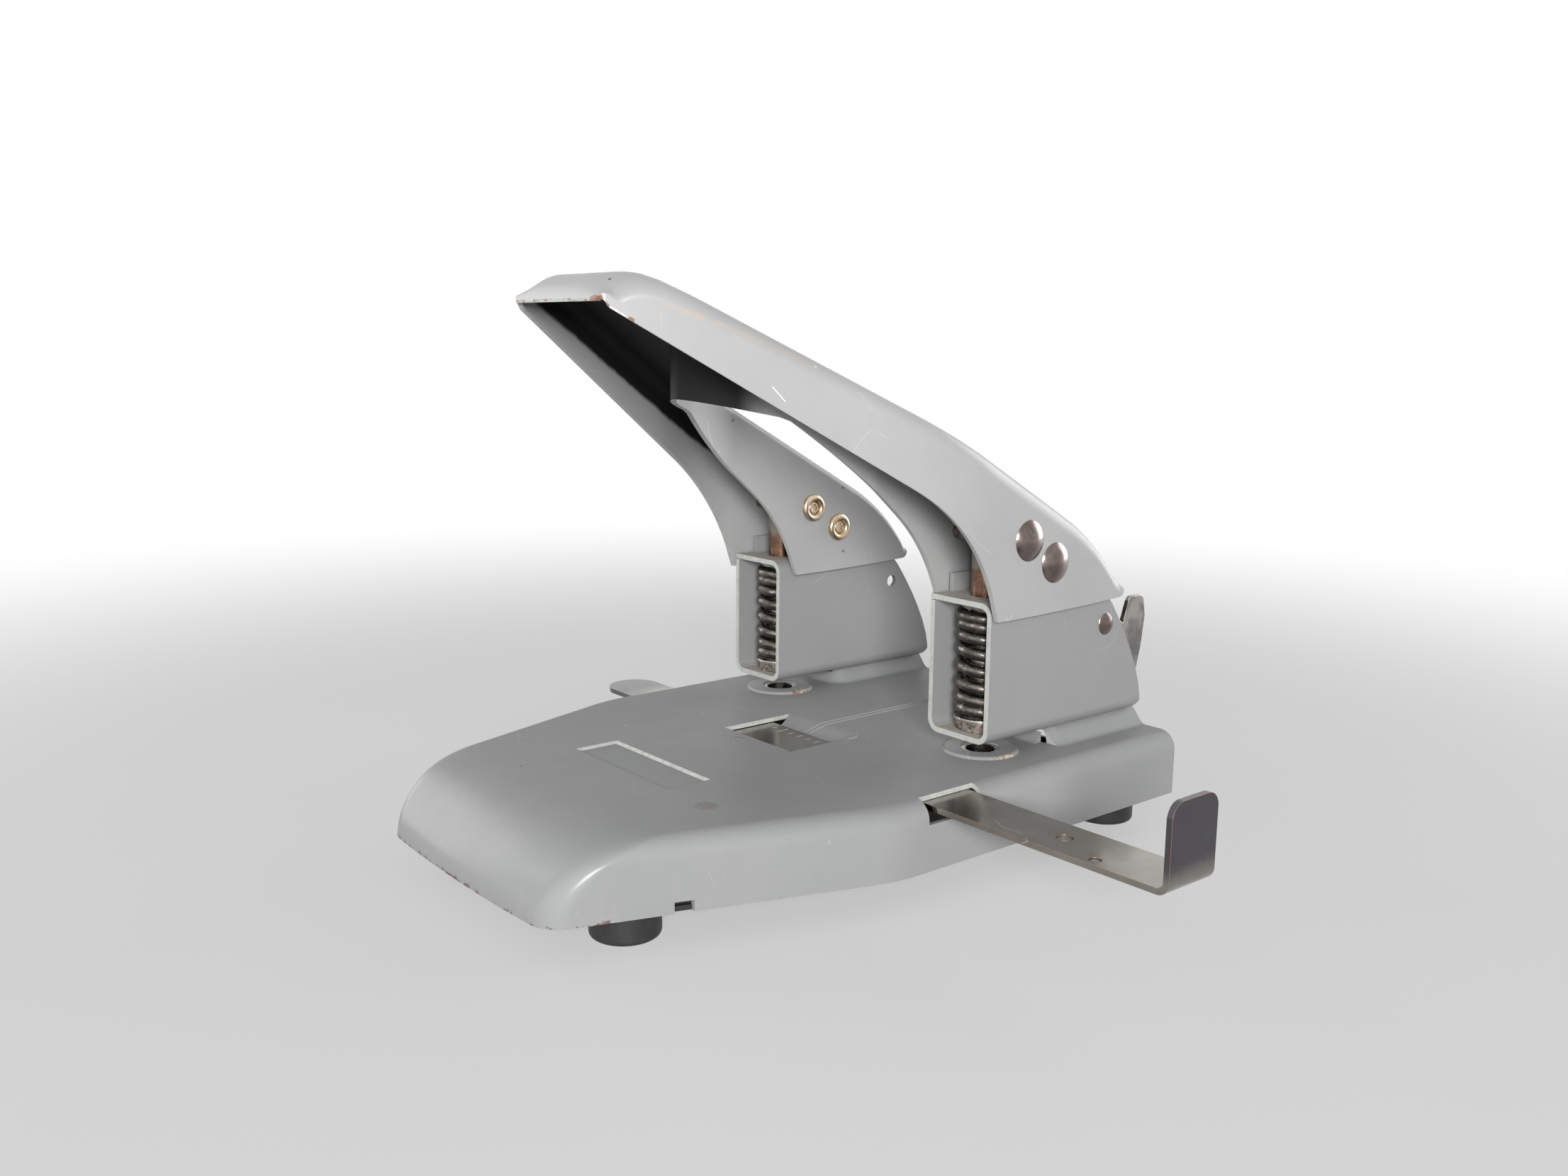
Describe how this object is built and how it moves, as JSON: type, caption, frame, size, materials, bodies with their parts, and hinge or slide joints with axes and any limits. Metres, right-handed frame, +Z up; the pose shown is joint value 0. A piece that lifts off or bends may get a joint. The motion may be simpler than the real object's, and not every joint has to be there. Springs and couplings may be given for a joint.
{
  "type": "two-hole punch",
  "caption": "Desk paper punch with a wishbone lever that drives sprung cutters into dies, a sliding paper guide, a lever latch and a snap-in chip tray.",
  "frame": {"origin": "middle of the footprint on the desk, below the middle of the overall box", "axes": "+X right along the guide bar, +Y from the lever's grip to its pivots, +Z up"},
  "size_m": [0.1766, 0.1552, 0.1212],
  "materials": {
    "enamel": "worn satin enamel",
    "tray_plastic": "matte",
    "foot_rubber": "matte",
    "plated_steel": "dull nickel plate",
    "dark_steel": "oiled",
    "tool_steel": "tarnished",
    "rivet_brass": "worn plate over brass"
  },
  "bodies": {
    "base": {"base_pan": "enamel", "die_left": "enamel", "die_right": "enamel", "bar_keeper_left": "dark_steel", "bar_keeper_right": "dark_steel", "frame_left": "enamel", "frame_right": "enamel", "frame_rivets_left": "plated_steel", "frame_rivets_right": "plated_steel", "lower_bush_left": "tool_steel", "lower_bush_right": "tool_steel", "spring_washer_left": "plated_steel", "spring_washer_right": "plated_steel", "return_spring_left": "dark_steel", "return_spring_right": "dark_steel", "latch_rivet": "plated_steel"},
    "lever_arm": {"lever": "enamel", "pivot_rivet_left": "rivet_brass", "pivot_rivet_right": "rivet_brass", "drive_rivet_left": "rivet_brass", "drive_rivet_right": "rivet_brass"},
    "punch_left": {"punch_pin_left": "tool_steel", "pin_clip_left": "dark_steel"},
    "punch_right": {"punch_pin_right": "tool_steel", "pin_clip_right": "dark_steel"},
    "bar": {"guide_bar": "plated_steel"},
    "latch": {"lock_latch": "dark_steel"},
    "tray": {"chip_tray": "tray_plastic", "foot_front_left": "foot_rubber", "foot_front_right": "foot_rubber", "foot_rear_left": "foot_rubber", "foot_rear_right": "foot_rubber", "foot_rivets": "plated_steel"}
  },
  "joints": [
    {"name": "lever_hinge", "type": "hinge", "parent": "base", "child": "lever_arm", "pos_m": [-0.01935, 0.04065, 0.0628], "axis": [1, 0, 0], "range_deg": [0, 36], "stiffness_Nm_per_rad": 0.36, "springref_deg": -49.27},
    {"name": "punch_slide_left", "type": "slide", "parent": "base", "child": "punch_left", "axis": [0, 0, -1], "range_m": [0, 0.006], "deforming": ["return_spring_left"]},
    {"name": "punch_slide_right", "type": "slide", "parent": "base", "child": "punch_right", "axis": [0, 0, -1], "range_m": [0, 0.006], "deforming": ["return_spring_right"]},
    {"name": "guide_bar_slide", "type": "slide", "parent": "base", "child": "bar", "axis": [1, 0, 0], "range_m": [-0.05, 0.012]},
    {"name": "latch_hinge", "type": "hinge", "parent": "base", "child": "latch", "pos_m": [0.01558, 0.06145, 0.0466], "axis": [1, 0, 0], "range_deg": [0, 30]},
    {"name": "tray_slide", "type": "slide", "parent": "base", "child": "tray", "axis": [0, 0, -1], "range_m": [0, 0.03]}
  ],
  "couplings": [
    {"joint": "punch_slide_left", "follows": "lever_hinge", "m_per_rad": 0.009549},
    {"joint": "punch_slide_right", "follows": "lever_hinge", "m_per_rad": 0.009549}
  ]
}
